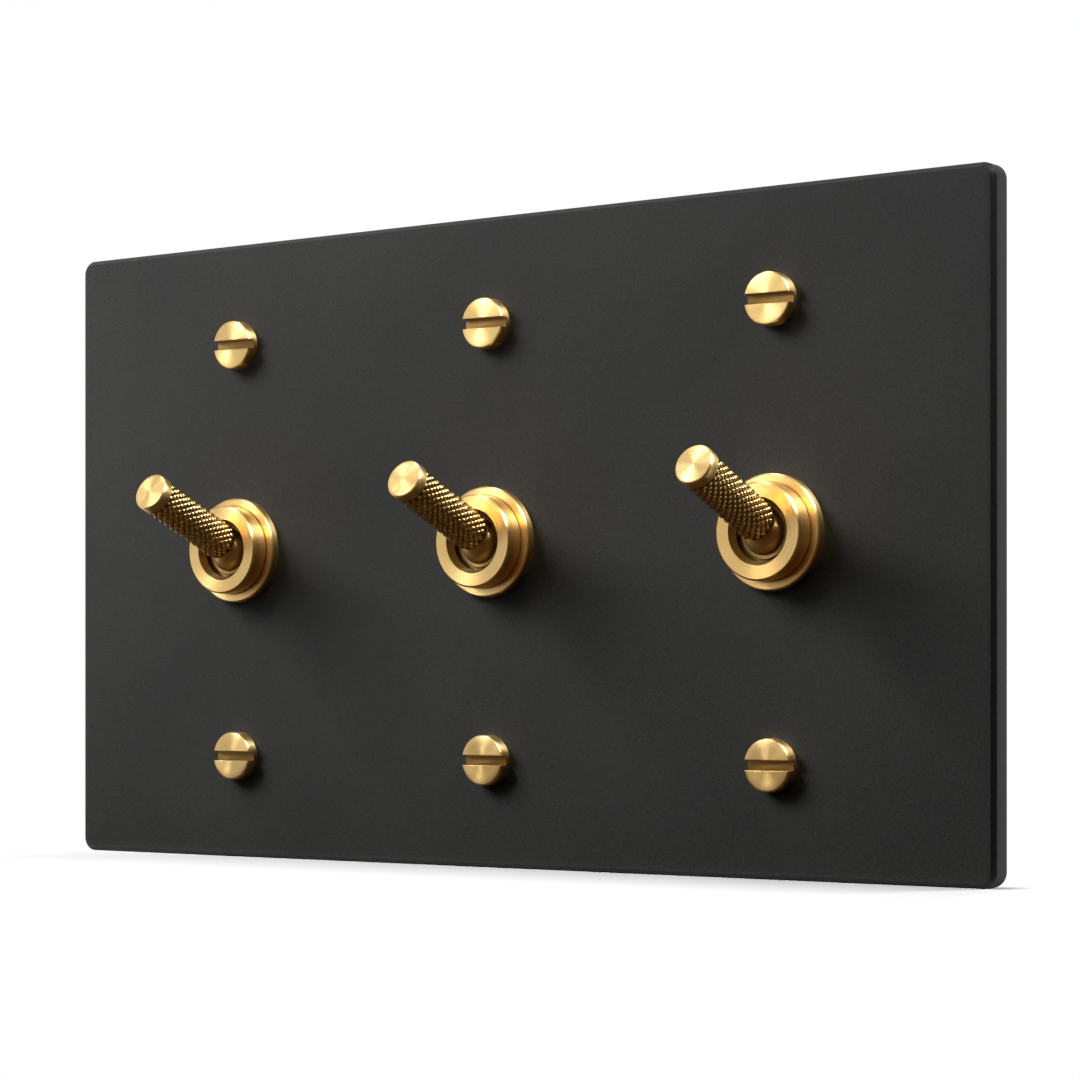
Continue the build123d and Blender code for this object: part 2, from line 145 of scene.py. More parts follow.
fill = add_node(tree, "Background", {"Color": WHITE, "Strength": fill_level})
white = add_node(tree, "Background", {"Color": WHITE, "Strength": 1.0})
mixed = add_node(tree, "MixShader", {0: seen_rays(tree), 1: fill.outputs[0], 2: white.outputs[0]})
add_node(tree, "OutputWorld", {"Surface": mixed.outputs[0]})
print("world fill", fill_level)

# %% [markdown]
# ## Modelling helpers
# Operators act on whatever is selected, so a piece is always selected alone, and in edit mode its
# vertices, edges or faces are picked by their place.

# %% Adding and selecting
def add_shape(kind, name, **sizes):
    """Add a plane, circle, cube or cylinder, with nothing else selected, and name it."""
    bpy.ops.object.select_all(action="DESELECT")
    getattr(bpy.ops.mesh, f"primitive_{kind}_add")(**sizes)
    shape = bpy.context.object
    shape.name = name
    return shape


def only(piece):
    """Select one object and nothing else."""
    bpy.ops.object.select_all(action="DESELECT")
    piece.select_set(True)
    bpy.context.view_layer.objects.active = piece


@contextmanager
def edit_mode(piece):
    """Work on one piece in edit mode, for as long as the block lasts."""
    only(piece)
    bpy.ops.object.mode_set(mode="EDIT")
    yield
    bpy.ops.object.mode_set(mode="OBJECT")


def pick(kind, test):
    """In edit mode, select the vertices, edges or faces that pass a test."""
    bpy.ops.mesh.select_mode(type=kind)
    bpy.ops.mesh.select_all(action="DESELECT")
    mesh = bmesh.from_edit_mesh(bpy.context.object.data)
    for part in {"VERT": mesh.verts, "EDGE": mesh.edges, "FACE": mesh.faces}[kind]:
        if test(part):
            part.select_set(True)
    bmesh.update_edit_mesh(bpy.context.object.data)


def select_everything():
    bpy.ops.mesh.select_all(action="SELECT")


def extrude(rise):
    """In edit mode, extrude what is selected along Z."""
    bpy.ops.mesh.extrude_region_move(TRANSFORM_OT_translate={"value": (0, 0, rise)})


# %% [markdown]
# ## Floor
# The plate stands on a pale floor. At the plate's foot the floor is an ordinary matt surface, so it
# takes the soft shadow. It fades into the white of the background slowly in front of the foot, and
# fast behind it and on the right. On the left, where the light comes from, it has faded by the time
# that the plate ends. That also hides the horizon.

# %% Floor
floor_size = 3.0
floor_tone = (0.62, 0.62, 0.62, 1)
fade_length = 0.022
side_haste = 8.0
left_inset = 0.03
floor = add_shape("plane", "studio_floor", size=floor_size, location=(0, 0, plate_low.z))

material, tree, output = new_material("pale_floor")
place = add_node(tree, "TexCoord")
flat = add_node(tree, "SeparateXYZ", {0: place.outputs["Object"]})
distance = 0.0
for axis, start, haste in (
    ("X", plate_low.x + left_inset, -fade_length / left_inset),
    ("X", plate_high.x, side_haste),
    ("Y", plate_low.y, -1.0),
    ("Y", plate_high.y, side_haste),
):
    past = calculate(tree, "SUBTRACT", flat.outputs[axis], start)
    distance = calculate(tree, "MAXIMUM", calculate(tree, "MULTIPLY", past, haste), distance)
fade = add_node(tree, "MapRange", {"Value": distance, "From Max": fade_length})
share = calculate(tree, "MULTIPLY", fade.outputs[0], seen_rays(tree))
matt = add_node(tree, "BsdfDiffuse", {"Color": floor_tone})
glow = add_node(tree, "Emission", {"Color": WHITE, "Strength": 1.0})
mixed = add_node(tree, "MixShader", {0: share, 1: matt.outputs[0], 2: glow.outputs[0]})
tree.links.new(mixed.outputs[0], output.inputs["Surface"])
floor.data.materials.append(material)
print("floor at", in_mm(plate_low.z), "mm")

# %% [markdown]
# ## Lights
# One soft lamp from the upper left throws the levers' shadows down to the right, and a second one from
# behind on the right brightens the plate's edge. Metal shows its lights as reflections. Three more
# lamps are there for that alone: two upright strips on the left spread bright fans over the turned
# faces of tips and collars, and a wide one high on the right puts sparks on chamfers and knurls.

# %% Lights
def direction(turn, rise):
    """Unit vector out of the plate's middle: turned to the right of its front, then raised."""
    turn, rise = radians(turn), radians(rise)
    return Vector((sin(turn) * cos(rise), -cos(turn) * cos(rise), sin(rise)))


def soft_lamp(name, turn, rise, distance, width, height, power):
    """An area lamp that looks at the middle of the plate."""
    out = direction(turn, rise)
    bpy.ops.object.light_add(type="AREA", location=out * distance)
    lamp = bpy.context.object
    lamp.name = name
    lamp.data.shape = "RECTANGLE"
    lamp.data.size = width
    lamp.data.size_y = height
    lamp.data.energy = power
    lamp.rotation_euler = out.to_track_quat("Z", "Y").to_euler()
    return lamp


key_lamp = soft_lamp("key_lamp", turn=-54, rise=36, distance=0.85, width=0.39, height=0.39, power=14.2)
edge_lamp = soft_lamp("edge_lamp", turn=140, rise=15, distance=0.6, width=0.2, height=0.2, power=5.6)
for lamp in (key_lamp, edge_lamp):
    lamp.visible_glossy = False
tip_lamp = soft_lamp("tip_lamp", turn=-50, rise=63, distance=0.7, width=0.1, height=0.24, power=1.3)
ring_lamp = soft_lamp("ring_lamp", turn=-36, rise=25, distance=0.7, width=0.1, height=0.24, power=1.2)
spark_lamp = soft_lamp("spark_lamp", turn=80, rise=48, distance=0.5, width=0.32, height=0.2, power=9.5)
for lamp in (tip_lamp, ring_lamp, spark_lamp):
    lamp.visible_diffuse = False

# %% [markdown]
# ## Cards
# In an all-white room polished metal would look flat, so cards give it darker sides. A deep brown
# one, which keeps the shaded brass warm, curves round the right, and another lies on the floor in
# front. A pale grey one curves round the left behind the lamps, so that their fans stand out. Cards
# glow in reflections alone, and the camera itself sees none of them.

# %% Cards
def card_paint(name, colour, strength):
    """A material that glows evenly in reflections, and is black to all other rays."""
    material, tree, output = new_material(name)
    path = add_node(tree, "LightPath")
    level = calculate(tree, "MULTIPLY", path.outputs["Is Glossy Ray"], strength)
    glow = add_node(tree, "Emission", {"Color": (*colour, 1), "Strength": level})
    tree.links.new(glow.outputs[0], output.inputs["Surface"])
    return material


card_brown = card_paint("brown_card", (1.0, 0.44, 0.05), strength=0.075)
card_grey = card_paint("grey_card", (1.0, 1.0, 1.0), strength=0.8)


def place_card(card, material):
    """Hide a card from the camera and from lamps. A brown one still shades matt surfaces a little."""
    card.visible_camera = card.visible_shadow = False
    card.visible_diffuse = material is card_brown
    card.data.materials.append(material)


CARD_SIDES = 72


def curved_card(name, material, radius, height, start, end):
    """An upright card on an arc round the plate, from one turn to another, in degrees to the right."""
    card = add_shape("circle", name, vertices=CARD_SIDES, radius=radius, location=(0, 0, plate_low.z))
    with edit_mode(card):
        pick("VERT", lambda vertex: not start <= degrees(atan2(vertex.co.x, -vertex.co.y)) <= end)
        bpy.ops.mesh.delete(type="VERT")
        select_everything()
        extrude(height)
    place_card(card, material)


curved_card("right_card", card_brown, radius=0.55, height=0.8, start=5, end=105)
curved_card("left_card", card_grey, radius=1.0, height=1.6, start=-115, end=-5)

floor_card_size, floor_card_gap, floor_card_lift = 0.8, 0.0005, 0.0005
floor_card_x, floor_card_y = 0.28, plate_low.y - floor_card_gap - floor_card_size / 2
floor_card = add_shape(
    "plane", "floor_card", size=floor_card_size,
    location=(floor_card_x, floor_card_y, plate_low.z + floor_card_lift),
)
place_card(floor_card, card_brown)

# %% [markdown]
# ## Shared surface effects
# Real metal and plastic are never one even colour. Four small node groups give the marks that the
# finishes share: slow drifts of tone, fine grain, the rings that a lathe tool leaves, and the long
# lines of rolled strip. Each puts out values from 0 to 1, and each material uses them at its own size.

# %% Effect groups
NOISE_LOW, NOISE_HIGH = 0.3, 0.7


def new_group(name, inputs, output):
    """An empty node group with number inputs, and one output that goes from 0 to 1."""
    group = bpy.data.node_groups.new(name, "ShaderNodeTree")
    for label, value in inputs.items():
        socket = group.interface.new_socket(label, in_out="INPUT", socket_type="NodeSocketFloat")
        socket.default_value = value
    group.interface.new_socket(output, in_out="OUTPUT", socket_type="NodeSocketFloat")
    return group, group.nodes.new("NodeGroupInput"), group.nodes.new("NodeGroupOutput")


def put_out_noise(group, result, inputs, **settings):
    """Noise as a group's output. It stays near its middle, so its usual span is stretched to 0..1."""
    noise = add_node(group, "TexNoise", inputs, **settings)
    span = {"Value": noise.outputs[0], "From Min": NOISE_LOW, "From Max": NOISE_HIGH}
    stretched = add_node(group, "MapRange", span)
    group.links.new(stretched.outputs[0], result.inputs[0])


def even_noise(name, output, scale, detail):
    """A group of noise that is alike in all directions."""
    group, given, result = new_group(name, {"Scale": scale}, output)
    place = add_node(group, "TexCoord")
    inputs = {"Vector": place.outputs["Object"], "Scale": given.outputs["Scale"], "Detail": detail}
    put_out_noise(group, result, inputs)
    return group


drift_group = even_noise("tone_drift", "Drift", scale=100.0, detail=3.0)
grain_group = even_noise("fine_grain", "Grain", scale=4000.0, detail=1.0)

# %% Line groups
lathe_group, given, result = new_group("lathe_lines", {"Lines per mm": 8.0}, "Lines")
turning = add_node(lathe_group, "UVMap", uv_map="turning")
along = add_node(lathe_group, "SeparateXYZ", {0: turning.outputs[0]})
inputs = {"W": along.outputs["X"], "Scale": given.outputs["Lines per mm"], "Detail": 4.0, "Roughness": 0.7}
put_out_noise(lathe_group, result, inputs, noise_dimensions="1D")

drawn_group, given, result = new_group("drawn_lines", {"X": 2600.0, "Y": 2600.0, "Z": 70.0}, "Lines")
place = add_node(drawn_group, "TexCoord")
sizes = add_node(drawn_group, "CombineXYZ", {axis: given.outputs[axis] for axis in "XYZ"})
factors = {0: place.outputs["Object"], 1: sizes.outputs[0]}
scaled = add_node(drawn_group, "VectorMath", factors, operation="MULTIPLY")
put_out_noise(drawn_group, result, {"Vector": scaled.outputs[0], "Scale": 1.0, "Detail": 3.0})
print("groups", [group.name for group in bpy.data.node_groups])

# %% Using the groups
def spaced(inputs):
    """Inputs by their real names: an underscore stands for a space."""
    return {name.replace("_", " "): value for name, value in inputs.items()}


def effect(tree, group, **inputs):
    """Place a group in a material, and hand back its output."""
    return add_node(tree, "Group", spaced(inputs), node_tree=group).outputs[0]


def spread(tree, value, low, high):
    """Take a value from 0..1 to a range of its own."""
    return add_node(tree, "MapRange", {"Value": value, "To Min": low, "To Max": high}).outputs[0]


MIX_FIRST, MIX_SECOND, MIX_RESULT = 6, 7, 2


def tint(tree, factor, *colours):
    """Mix two colours. Each is given as three numbers or as an output socket."""
    first, second = (
        colour if isinstance(colour, bpy.types.NodeSocket) else (*colour, 1) for colour in colours
    )
    inputs = {0: factor, MIX_FIRST: first, MIX_SECOND: second}
    return add_node(tree, "Mix", inputs, data_type="RGBA").outputs[MIX_RESULT]


def relief(tree, height, depth, strength=1.0):
    """A bump of a real depth in metres."""
    inputs = {"Strength": strength, "Distance": depth, "Height": height}
    return add_node(tree, "Bump", inputs).outputs[0]


def principled(tree, output, **inputs):
    """The surface shader."""
    shader = add_node(tree, "BsdfPrincipled", spaced(inputs))
    tree.links.new(shader.outputs[0], output.inputs["Surface"])


# %% [markdown]
# ## Powder coat
# The plate is metal with a matt charcoal powder coat. Powder melts into a skin with a very fine
# orange peel, so the finish is a dark colour with slow drift, a fine bump and hardly any gloss.

# %% Powder coat
charcoal_coat, tree, output = new_material("charcoal_coat")
drift = effect(tree, drift_group, Scale=35.0)
grain = effect(tree, grain_group, Scale=3200.0)
tone = tint(tree, drift, (0.032, 0.032, 0.0315), (0.037, 0.037, 0.036))
speck = spread(tree, grain, 0.85, 1.15)
principled(
    tree, output,
    Base_Color=add_node(tree, "VectorMath", {0: tone, 1: speck}, operation="MULTIPLY").outputs[0],
    Roughness=spread(tree, grain, 0.46, 0.60),
    Specular_IOR_Level=0.05,
    Normal=relief(tree, grain, depth=0.012 * MM),
)
print("finish", charcoal_coat.name)

# %% [markdown]
# ## Face plate
# The plate is one slab with small round corners, a chamfer round its front and a shallow pocket
# behind. A box with bevelled edges gives exactly that: one flat bevel makes the chamfer, and a tiny
# second one softens its two rims, as the coat does. Boolean cuts make the pocket and the holes.

# %% Plate blank
TINY = 0.001 * MM
CORNER_STEPS = 12
plate_corner = 2.0 * MM
front_chamfer, back_chamfer = 0.6 * MM, 0.4 * MM
coat_round = 0.08 * MM


def apply_place(piece):
    """Put a piece's place, turn and size into its mesh, so that it sits at the origin, unturned."""
    only(piece)
    bpy.ops.object.transform_apply(location=True, rotation=True, scale=True)


def bevel(piece, test, offset, segments):
    """Bevel the edges of a piece that pass a test."""
    with edit_mode(piece):
        pick("EDGE", test)
        bpy.ops.mesh.bevel(offset=offset, segments=segments, affect="EDGES")


def depths(edge):
    """The depths of an edge's two ends, the front one first."""
    return sorted(vertex.co.y for vertex in edge.verts)


def is_through(edge):
    """True for the edges that run square to the wall."""
    return depths(edge)[1] - depths(edge)[0] > TINY


def rounded_slab(name, low, high, corner):
    """A slab that fills a box, with its four corners rounded as seen from the front."""
    slab = add_shape("cube", name, size=1, location=(low + high) / 2)
    slab.scale = high - low
    apply_place(slab)
    bevel(slab, is_through, corner, CORNER_STEPS)
    return slab


def on_chamfer_rim(edge):
    return not is_through(edge) and depths(edge)[0] < plate_low.y + front_chamfer + TINY


plate = rounded_slab("coated_face_plate", plate_low, plate_high, plate_corner)
bevel(plate, lambda edge: depths(edge)[1] < plate_low.y + TINY, front_chamfer, segments=1)
bevel(plate, on_chamfer_rim, coat_round, segments=3)
bevel(plate, lambda edge: depths(edge)[0] > plate_high.y - TINY, back_chamfer, segments=3)
print("plate blank faces", len(plate.data.polygons))

# %% Cutting and dressing
OUT_OF_WALL = pi / 2
DRILL_LENGTH, DRILL_SIDES = 40 * MM, 64


def cut(piece, cutter, operation="DIFFERENCE"):
    """Cut one closed shape with another by a Boolean modifier, and throw the cutter away."""
    only(piece)
    step = piece.modifiers.new("cut", "BOOLEAN")
    step.object = cutter
    step.operation = operation
    step.solver = "EXACT"
    bpy.ops.object.modifier_apply(modifier=step.name)
    bpy.data.objects.remove(cutter)


def drill(piece, place, radius, turn=(OUT_OF_WALL, 0, 0), sides=DRILL_SIDES):
    """A round hole through a piece, square to the wall unless it is turned."""
    cut(piece, add_shape(
        "cylinder", "drill", vertices=sides, radius=radius, depth=DRILL_LENGTH,
        location=place, rotation=turn,
    ))


def smooth(piece, angle=35):
    only(piece)
    bpy.ops.object.shade_smooth_by_angle(angle=radians(angle))


def dress(piece, material, body, slot, *nodes):
    """Give a finished piece its material and its body, and hide the CAD nodes that it stands for."""
    piece.data.materials.clear()
    piece.data.materials.append(material)
    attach(piece, body)
    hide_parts(*nodes)


# %% Plate pocket and holes
rim_width, pocket_depth, pocket_corner = 4.0 * MM, 1.6 * MM, 1.5 * MM
rim = Vector((rim_width, 0, rim_width))
pocket_low, pocket_high = plate_low + rim, plate_high - rim
pocket_low.y, pocket_high.y = -pocket_depth, pocket_depth
cut(plate, rounded_slab("pocket", pocket_low, pocket_high, pocket_corner))

toggle_x = {}
for gang in GANGS:
    low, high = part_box(f"collar_ring_{gang}")
    toggle_x[gang] = (low.x + high.x) / 2
screw_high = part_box("plate_screws")[1]
head_radius = screw_high.x - toggle_x["right"]
screw_z = screw_high.z - head_radius
collar_hole_radius, screw_hole_radius = 5.1 * MM, 2.1 * MM
for x in toggle_x.values():
    drill(plate, (x, 0, 0), collar_hole_radius)
    for z in (-screw_z, screw_z):
        drill(plate, (x, 0, z), screw_hole_radius)

smooth(plate, angle=10)
dress(plate, charcoal_coat, "base", "plate_finish", "face_plate")
print("plate faces", len(plate.data.polygons), "screw rows at", in_mm(screw_z), "mm")

# %% [markdown]
# ## Satin brass
# Collars, balls, levers and screws are satin brass off a lathe. The tool leaves fine rings,
# which spread a reflection across them and so draw bright fans on a flat face. The rings follow a UV
# map that runs along each piece's outline, and the same map steers the shader's anisotropy. Shade is
# painted into the brass: a point attribute, where a piece has it, gives each point a level of painted
# shade for the slots, recesses and junctions that light hardly reaches, and darkens and roughens it there.

# %% Satin brass
BRASS_PALE = (0.87, 0.625, 0.27)
BRASS_WARM = (0.80, 0.53, 0.19)
BRASS_DEEP = (0.48, 0.26, 0.05)
# The next colour is a painted shade. The brass turns towards it, and gets a little rougher, where a point
# is set in painted shade.
BRASS_PAINTED_SHADE = (0.08, 0.036, 0.003)
PAINTED_SHADE_START, PAINTED_SHADE_END, PAINTED_SHADE_ROUGHNESS = 0.25, 0.95, 0.14
LINE_DEPTH, LINE_STRENGTH = 0.004 * MM, 0.6


# The painted shade that a point carries, from 0 to 1.
def painted_shade_level(tree):
    return add_node(tree, "Attribute", attribute_name="painted_shade").outputs["Fac"]


def brass_finish(name, rough_low, rough_high, anisotropic):
    """Lathe-turned brass, with painted shade in its recesses."""
    material, tree, output = new_material(name)
    lines = effect(tree, lathe_group, Lines_per_mm=9.0)
    tone = tint(tree, effect(tree, drift_group, Scale=140.0), BRASS_PALE, BRASS_WARM)
    tone = tint(tree, spread(tree, lines, 0.16, 0.0), tone, BRASS_DEEP)
    span = {"Value": painted_shade_level(tree), "From Min": PAINTED_SHADE_START, "From Max": PAINTED_SHADE_END}
    painted_shade_share = add_node(tree, "MapRange", span).outputs[0]
    rough = spread(tree, lines, rough_high, rough_low)
    principled(
        tree, output,
        Base_Color=tint(tree, painted_shade_share, tone, BRASS_PAINTED_SHADE),
        Metallic=1.0,
        Roughness=calculate(tree, "ADD", rough, spread(tree, painted_shade_share, 0.0, PAINTED_SHADE_ROUGHNESS)),
        Anisotropic=anisotropic,
        Tangent=add_node(tree, "Tangent", direction_type="UV_MAP", uv_map="turning").outputs[0],
        Normal=relief(tree, lines, LINE_DEPTH, LINE_STRENGTH),
    )
    return material


satin_brass = brass_finish("satin_brass", 0.26, 0.36, anisotropic=0.8)
print("finish", satin_brass.name)

# %% [markdown]
# ## Turned pieces
# Collars, ball and lever tip come off a lathe. A circle is extruded from point to point of the
# outline, which is the same as turning it, and leaves clean rings of faces.

# %% Turning
TURNED_SIDES = 102


def axis_distance(vertex):
    return hypot(vertex.co.x, vertex.co.y)


def on_ring(vertex, radius, height):
    return abs(vertex.co.z - height) < TINY and abs(axis_distance(vertex) - radius) < TINY


def face_out():
    """In edit mode, turn all faces outwards."""
    select_everything()
    bpy.ops.mesh.normals_make_consistent(inside=False)


def turn_piece(name, outline, sides=TURNED_SIDES):
    """Turn a piece round Z: a circle is extruded along an outline of (radius, height) points."""
    rings = [point for point in outline if point[0] > 0]
    radius, height = rings[0]
    piece = add_shape("circle", name, vertices=sides, radius=radius)
    with edit_mode(piece):
        bpy.ops.mesh.select_mode(type="EDGE")
        select_everything()
        bpy.ops.transform.translate(value=(0, 0, height))
        for new_radius, new_height in rings[1:]:
            extrude(new_height - height)
            scale = new_radius / radius
            bpy.ops.transform.resize(value=(scale, scale, 1), center_override=(0, 0, new_height))
            radius, height = new_radius, new_height
        for end, ring in ((outline[-1], rings[-1]), (outline[0], rings[0])):
            if end[0] == 0:
                pick("EDGE", lambda edge: edge.is_boundary and all(on_ring(v, *ring) for v in edge.verts))
                extrude(end[1] - ring[1])
                bpy.ops.mesh.merge(type="CENTER")
        select_everything()
        bpy.ops.mesh.remove_doubles(threshold=TINY)
        face_out()
    return piece


# %% Outlines
ROUND_STEPS = 4


def arc(middle, radius, start, end, count):
    """Points of an outline along an arc, from one angle to another above the plane of its middle."""
    angles = [start + (end - start) * step / count for step in range(count + 1)]
    return [(radius * cos(angle), middle + radius * sin(angle)) for angle in angles]


def round_edge(radius, top, rounding):
    """Points of an outline over a rounded outer edge, from the side to the top."""
    return [(radius - rounding + x, z) for x, z in arc(top - rounding, rounding, 0, pi / 2, ROUND_STEPS)]


def flat_top(radius, top, shares):
    """Points of an outline over a flat top, in to the axis, with rings at shares of its radius."""
    return [(radius * share, top) for share in (*shares, 0)]


# %% Marking and seating
HEIGHT_SHARE = 0.7  # Less than 1, so that u also runs across a chamfer of 45 degrees.


def mark_turning(piece):
    """A UV map for lathe lines: u runs along the outline in millimetres, and v round the axis."""
    mesh = piece.data
    layer = mesh.uv_layers.new(name="turning")
    for face in mesh.polygons:
        middle = atan2(face.center.y, face.center.x) / tau
        for loop in face.loop_indices:
            spot = mesh.vertices[mesh.loops[loop].vertex_index].co
            distance = hypot(spot.x, spot.y)
            turn = atan2(spot.y, spot.x) / tau if distance > TINY else middle
            turn -= round(turn - middle)
            layer.data[loop].uv = ((distance + HEIGHT_SHARE * spot.z) / MM, turn)


def mark_painted_shade(piece, depth):
    """Set the painted shade of a piece's vertices by a rule."""
    painted_shade = piece.data.attributes.new("painted_shade", "FLOAT", "POINT")
    for vertex in piece.data.vertices:
        painted_shade.data[vertex.index].value = depth(vertex)


def seat(pattern, name, place, turn=OUT_OF_WALL):
    """A copy of a piece with a mesh of its own, turned about X and set in its place."""
    copy = pattern.copy()
    copy.data = pattern.data.copy()
    copy.name = name
    bpy.context.collection.objects.link(copy)
    copy.location = place
    copy.rotation_euler = (turn, 0, 0)
    apply_place(copy)
    return copy


def seat_on_gangs(pattern, prefix, material, slot, body="base", height=0.0, tilt=0.0):
    """Seat a copy of a piece at each toggle, and throw the pattern away."""
    pieces = []
    for gang, x in toggle_x.items():
        node = f"{pattern.name}_{gang}"
        piece = seat(pattern, f"{prefix}_{node}", (x, -height, 0), OUT_OF_WALL - tilt)
        dress(piece, material, body if body == "base" else f"{body}_{gang}", slot, node)
        pieces.append(piece)
    bpy.data.objects.remove(pattern)
    return pieces


# %% [markdown]
# ## Collars
# Each toggle stands in a dress nut on a wide washer. Their outlines are a few straight cuts with
# small chamfers, which catch a thin line of light, and the nut's mouth is bored to a slight cone.

# %% Collar ring and flange
plate_front = -plate_low.y
ring_low, ring_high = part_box("collar_ring_middle")
flange_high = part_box("collar_flange_middle")[1]
ring_radius = ring_high.x
ring_front, ring_base = -ring_low.y, -ring_high.y
flange_radius = flange_high.x
bore_radius = 5.05 * MM
mouth_radius, hole_radius = 4.4 * MM, 3.95 * MM
mouth_depth, lip_depth = 1.1 * MM, 1.2 * MM
ring_chamfer, ring_undercut, flange_chamfer = 0.25 * MM, 0.2 * MM, 0.2 * MM
mouth_break = 0.06 * MM
# The washer's face has an extra ring this far out from the nut. The painted shade round the nut's foot
# ends there.
shade_width = 0.4 * MM
mouth_shade = 0.8

collar_ring = turn_piece("collar_ring", [
    (bore_radius, ring_base),
    (ring_radius - ring_undercut, ring_base),
    (ring_radius, ring_base + ring_undercut),
    (ring_radius, ring_front - ring_chamfer),
    (ring_radius - ring_chamfer, ring_front),
    (mouth_radius + mouth_break, ring_front),
    (mouth_radius, ring_front - mouth_break),
    (hole_radius, ring_front - mouth_depth),
    (hole_radius, ring_front - lip_depth),
    (bore_radius, ring_front - lip_depth),
    (bore_radius, ring_base),
])
collar_flange = turn_piece("collar_flange", [
    (bore_radius, plate_front),
    (flange_radius, plate_front),
    (flange_radius, ring_base - flange_chamfer),
    (flange_radius - flange_chamfer, ring_base),
    (ring_radius + shade_width, ring_base),
    (ring_radius, ring_base),
    (bore_radius, ring_base),
    (bore_radius, plate_front),
])


# Painted shade: full where the nut meets the washer, and strong in its mouth below the thin break at the
# rim.
def ring_painted_shade(vertex):
    if vertex.co.z < ring_base + TINY:
        return 1.0
    return mouth_shade * (axis_distance(vertex) < mouth_radius + TINY)


mark_painted_shade(collar_ring, ring_painted_shade)
# Painted shade on the washer round the nut's foot, fading out by the extra ring.
mark_painted_shade(collar_flange, lambda vertex: mouth_shade * (axis_distance(vertex) < ring_radius + TINY))
print("collar ring radius", in_mm(ring_radius), "front", in_mm(ring_front))

# %% Bushing
bushing_low, bushing_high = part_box("bushing_middle")
bushing_front, bushing_back = -bushing_low.y, -bushing_high.y
bushing_flange_radius, bushing_flange = bushing_high.x, 1.0 * MM
pivot_height = 4.9 * MM
lip_rise = 0.9 * MM
socket_radius, socket_bottom = 3.22 * MM, 2.16 * MM
socket_shade = 0.75
barrel_radius = 5.0 * MM
rim_wall, rim_length, rim_break = 0.5 * MM, 0.6 * MM, 0.08 * MM
tail_opening = 4.58 * MM
rim_radius = sqrt(socket_radius**2 - lip_rise**2) + rim_wall
bushing = turn_piece("bushing", [
    *arc(pivot_height, socket_radius, 0, asin(lip_rise / socket_radius), count=6),
    (rim_radius - rim_break, bushing_front),
    (rim_radius, bushing_front - rim_break),
    (rim_radius, bushing_front - rim_length),
    (barrel_radius, bushing_front - rim_length),
    (barrel_radius, bushing_back + bushing_flange),
    (bushing_flange_radius, bushing_back + bushing_flange),
    (bushing_flange_radius, bushing_back),
    (tail_opening, bushing_back),
    (socket_radius, socket_bottom),
    (socket_radius, pivot_height),
])
ALONG_PIN, PIN_SIDES = (0, pi / 2, 0), 32
pin_hole_radius = 0.8 * MM
drill(bushing, (0, 0, pivot_height), pin_hole_radius, ALONG_PIN, PIN_SIDES)
# The bushing, seen only deep in the nut's mouth, gets an even painted shade.
mark_painted_shade(bushing, lambda vertex: socket_shade)
for pattern in (collar_ring, collar_flange, bushing):
    mark_turning(pattern)
    smooth(pattern, angle=20)
    seat_on_gangs(pattern, "brass", satin_brass, "satin_brass")
print("bushing rim radius", in_mm(rim_radius))

# %% [markdown]
# ## Lever stem
# Below the grip, the lever is a ball in the bushing's socket and a bored tail behind it. It is turned
# in one, and the cross hole for the pivot pin is drilled through the ball.

# %% Lever stem
lever_tilt = radians(24)
ball_radius, neck_radius, neck_length = 3.1 * MM, 2.2 * MM, 0.15 * MM
ball_shade, neck_shade = 0.5, 0.85
tail_radius, tail_length = 1.6 * MM, 8.6 * MM
tail_bore_radius, tail_bore_end = 1.0 * MM, 3.2 * MM
grip_start = sqrt(ball_radius**2 - neck_radius**2) + neck_length

lever_stem = turn_piece("lever_stem", [
    (0, -tail_bore_end),
    (tail_bore_radius, -tail_bore_end),
    (tail_bore_radius, -tail_length),
    (tail_radius, -tail_length),
    *arc(0, ball_radius, -acos(tail_radius / ball_radius), acos(neck_radius / ball_radius), count=28),
    (neck_radius, grip_start),
    (0, grip_start),
])
drill(lever_stem, (0, 0, 0), pin_hole_radius, ALONG_PIN, PIN_SIDES)


# Painted shade: the ball, which sits in the socket, is half shaded, and the thin neck above it more.
def stem_painted_shade(vertex):
    return ball_shade if axis_distance(vertex) > neck_radius + TINY else neck_shade


mark_painted_shade(lever_stem, stem_painted_shade)
print("ball radius", in_mm(ball_radius), "grip starts at", in_mm(grip_start))

# %% [markdown]
# ## Knurled grip
# A diamond knurl is two sets of helical grooves that cross. It could be a bump map, but its points
# show against the plate, so it is modelled. A tube is divided into a grid, every second point is
# sunk to the depth of the grooves, and the raised points are dissolved, which leaves a net of flat
# diamonds. Each diamond is then inset and raised three times, ever less, into a small pillow.

# %% Knurl net
grip_radius, grip_end, foot_radius = 2.75 * MM, 19.2 * MM, 2.4 * MM
foot_length, tip_length, tip_round = 0.4 * MM, 1.6 * MM, 0.4 * MM
knurl_starts, knurl_rows, knurl_depth = 17, 24, 0.26 * MM
knurl_low, knurl_high = grip_start + foot_length, grip_end - tip_length
knurl_length = knurl_high - knurl_low
valley_radius = grip_radius - knurl_depth
sink = valley_radius / grip_radius


def is_valley(vertex):
    row = round((vertex.co.z - knurl_low) / knurl_length * knurl_rows)
    column = round(atan2(-vertex.co.x, vertex.co.y) / pi * knurl_starts)
    return row in (0, knurl_rows) or (row + column) % 2 == 1


